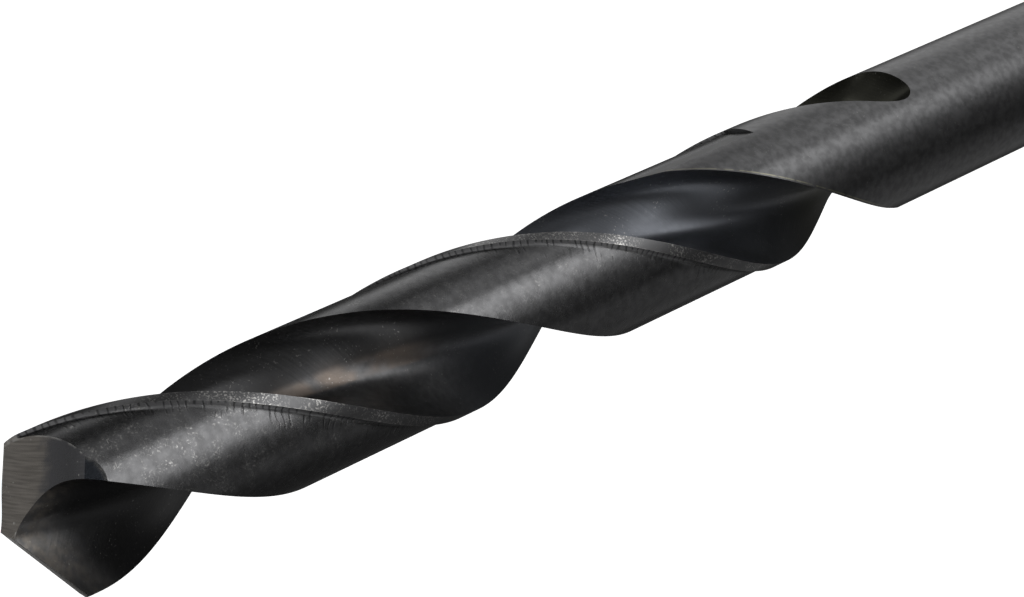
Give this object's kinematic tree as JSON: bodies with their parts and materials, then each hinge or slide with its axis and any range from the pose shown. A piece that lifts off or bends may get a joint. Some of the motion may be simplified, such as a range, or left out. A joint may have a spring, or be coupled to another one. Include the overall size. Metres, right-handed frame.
{
  "type": "twist drill bit",
  "caption": "Right-hand twist drill bit for metal: helical flutes with narrow margins, a conical cutting point and a plain round shank.",
  "frame": {"origin": "centre of the flat shank end, which the bit stands on", "axes": "+Z along the bit's axis from the shank end to the point; +X towards the outer corner of one lip"},
  "size_m": [0.013, 0.013, 0.151],
  "materials": {
    "blackened_steel": "dark steam-oxidised tool steel, satin, with bare worn edges"
  },
  "bodies": {
    "root": {"drill_bit": "blackened_steel"}
  },
  "joints": []
}
